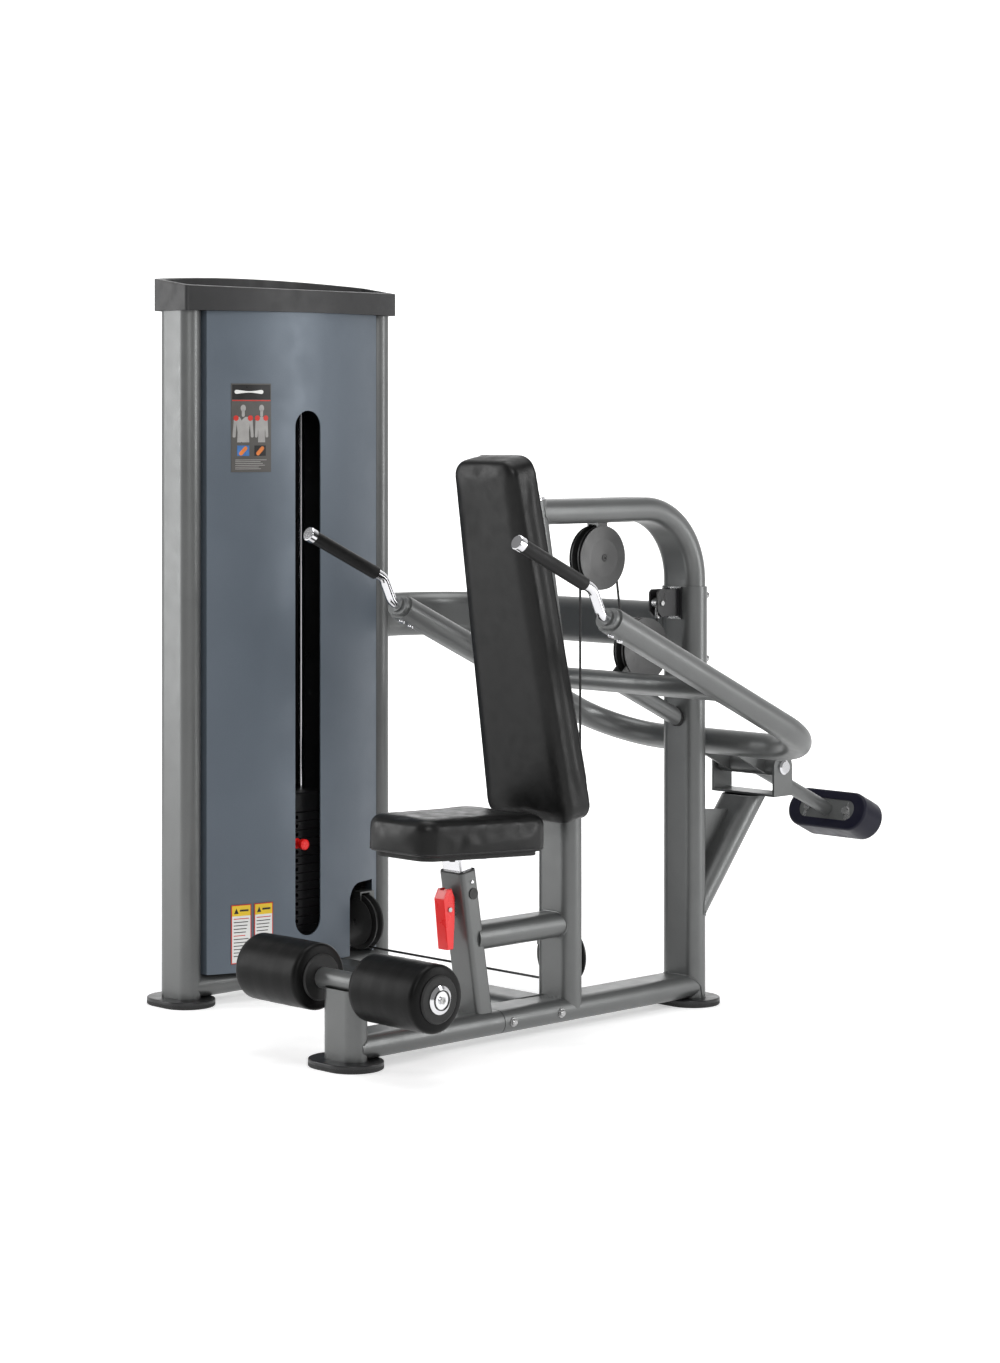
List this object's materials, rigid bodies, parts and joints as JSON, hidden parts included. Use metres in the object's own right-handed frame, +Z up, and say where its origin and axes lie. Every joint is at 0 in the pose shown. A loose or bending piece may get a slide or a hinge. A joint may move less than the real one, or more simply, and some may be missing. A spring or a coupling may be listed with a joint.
{
  "type": "seated press machine",
  "caption": "Seated press machine: hinged yoke arm with offset grips drives a cable to a weight stack in a slotted tower; padded seat, leaning back pad, ankle rollers.",
  "frame": {"origin": "on the floor, at the centre of the front post's foot, under the ankle rollers", "axes": "+X to the user's left as they sit facing -Y (the weight tower is at -X), +Y from the rollers to the counterweight along the machine's length, +Z up"},
  "size_m": [1.3809, 1.8597, 1.8319],
  "materials": {
    "frame_paint": "metallic grey powder coat, satin",
    "foot_paint": "black paint, satin",
    "black_rubber": "matt",
    "pad_vinyl": "satin upholstery vinyl",
    "roller_vinyl": "smooth skinned foam, semi-gloss",
    "grip_rubber": "matt",
    "navy_rubber": "semi-matt",
    "pad_board": "matt",
    "black_plastic": "matt",
    "hub_plastic": "matt",
    "cap_plastic": "textured",
    "panel_paint": "blue-grey powder coat, satin",
    "placard_film": "satin film",
    "stack_iron": "black paint",
    "chrome": "polished",
    "bolt_steel": "plated",
    "red_plastic": "gloss",
    "cable_jacket": "nylon-coated steel cable"
  },
  "bodies": {
    "root": {"floor_rails": "frame_paint", "foot_pads": "black_rubber", "foot_plates": "foot_paint", "front_post": "frame_paint", "frame_bolts": "bolt_steel", "rear_post": "frame_paint", "back_post": "frame_paint", "link_beam": "frame_paint", "strut": "frame_paint", "pivot_bracket": "frame_paint", "pivot_axle": "chrome", "seat_post": "frame_paint", "lever_bracket": "bolt_steel", "frame_plugs": "black_plastic", "back_pad": "pad_vinyl", "back_pad_board": "pad_board", "back_pad_brackets": "frame_paint", "roller_shaft": "frame_paint", "roller_end_caps": "chrome", "tower_frame": "frame_paint", "panel_right": "panel_paint", "panel_left": "panel_paint", "tower_cap": "cap_plastic", "placards": "placard_film", "weight_plates_lower": "stack_iron", "guide_rods": "chrome", "stack_bumpers": "black_rubber", "pulley_brackets": "frame_paint", "cable_main": "cable_jacket", "cable_stack": "cable_jacket", "cable_spans": "cable_jacket", "cable_anchor": "foot_paint"},
    "press_arm": {"yoke": "frame_paint", "crossbar": "frame_paint", "stop_bumper": "black_rubber", "pivot_hub": "frame_paint", "counterweight_bar": "frame_paint", "counterweight_block": "navy_rubber", "handles": "chrome", "grips": "grip_rubber", "handle_sockets": "frame_paint", "pulley_float_fork": "frame_paint", "cable_wrap": "cable_jacket"},
    "float_wheel": {"pulley_float": "black_plastic"},
    "top_wheel": {"pulley_top": "black_plastic"},
    "low_wheel": {"pulley_low": "black_plastic"},
    "tower_wheel": {"pulley_tower": "black_plastic"},
    "head_wheel_front": {"pulley_head_front": "black_plastic"},
    "head_wheel_rear": {"pulley_head_rear": "black_plastic"},
    "lifted_stack": {"weight_plates_lifted": "stack_iron", "head_plate": "stack_iron"},
    "selector": {"selector_pin": "red_plastic"},
    "seat": {"seat_slider": "chrome", "seat_board": "pad_board", "seat_pad": "pad_vinyl"},
    "lever": {"seat_lever": "red_plastic"},
    "roller_left": {"roller_foam_left": "roller_vinyl", "roller_hub_left": "hub_plastic"},
    "roller_right": {"roller_foam_right": "roller_vinyl", "roller_hub_right": "hub_plastic"}
  },
  "joints": [
    {"name": "press_pivot", "type": "hinge", "parent": "root", "child": "press_arm", "pos_m": [0, 1.393, 0.579], "axis": [1, 0, 0], "range_deg": [0, 25], "deforming": ["cable_spans"]},
    {"name": "stack_lift", "type": "slide", "parent": "root", "child": "lifted_stack", "axis": [0, 0, 1], "range_m": [0, 0.43], "deforming": ["cable_stack"]},
    {"name": "selector_pull", "type": "slide", "parent": "lifted_stack", "child": "selector", "axis": [1, 0, 0], "range_m": [0, 0.09]},
    {"name": "float_wheel_spin", "type": "hinge", "parent": "press_arm", "child": "float_wheel", "pos_m": [0, 0.975, 0.896], "axis": [1, 0, 0], "range_deg": [0, 190]},
    {"name": "top_wheel_spin", "type": "hinge", "parent": "root", "child": "top_wheel", "pos_m": [0, 0.82, 1.128], "axis": [1, 0, 0], "range_deg": [-415, 0]},
    {"name": "low_wheel_spin", "type": "hinge", "parent": "root", "child": "low_wheel", "pos_m": [-0.064, 0.76, 0.154], "axis": [0, 1, 0], "range_deg": [-390, 0]},
    {"name": "tower_wheel_spin", "type": "hinge", "parent": "root", "child": "tower_wheel", "pos_m": [-0.798, 0.76, 0.154], "axis": [0, 1, 0], "range_deg": [-390, 0]},
    {"name": "head_wheel_rear_spin", "type": "hinge", "parent": "root", "child": "head_wheel_rear", "pos_m": [-0.862, 0.715, 1.65], "axis": [1, 0, 0], "range_deg": [-550, 0]},
    {"name": "head_wheel_front_spin", "type": "hinge", "parent": "root", "child": "head_wheel_front", "pos_m": [-0.862, 0.573, 1.65], "axis": [1, 0, 0], "range_deg": [-550, 0]},
    {"name": "seat_height", "type": "slide", "parent": "root", "child": "seat", "axis": [0, -0.1612, 0.9869], "range_m": [-0.025, 0.12]},
    {"name": "seat_lever_pull", "type": "hinge", "parent": "root", "child": "lever", "pos_m": [0, 0.3075, 0.324], "axis": [-1, 0, 0], "range_deg": [0, 14], "stiffness_Nm_per_rad": 2, "springref_deg": -5.73},
    {"name": "roller_left_spin", "type": "hinge", "parent": "root", "child": "roller_left", "pos_m": [-0.2, 0, 0.192], "axis": [1, 0, 0], "continuous": true},
    {"name": "roller_right_spin", "type": "hinge", "parent": "root", "child": "roller_right", "pos_m": [0.2, 0, 0.192], "axis": [1, 0, 0], "continuous": true}
  ],
  "couplings": [
    {"joint": "stack_lift", "follows": "press_pivot", "m_per_rad": 0.984},
    {"joint": "float_wheel_spin", "follows": "press_pivot", "ratio": 7.47},
    {"joint": "top_wheel_spin", "follows": "press_pivot", "ratio": -16.4},
    {"joint": "low_wheel_spin", "follows": "press_pivot", "ratio": -15.375},
    {"joint": "tower_wheel_spin", "follows": "press_pivot", "ratio": -15.375},
    {"joint": "head_wheel_rear_spin", "follows": "press_pivot", "ratio": -21.867},
    {"joint": "head_wheel_front_spin", "follows": "press_pivot", "ratio": -21.867}
  ]
}
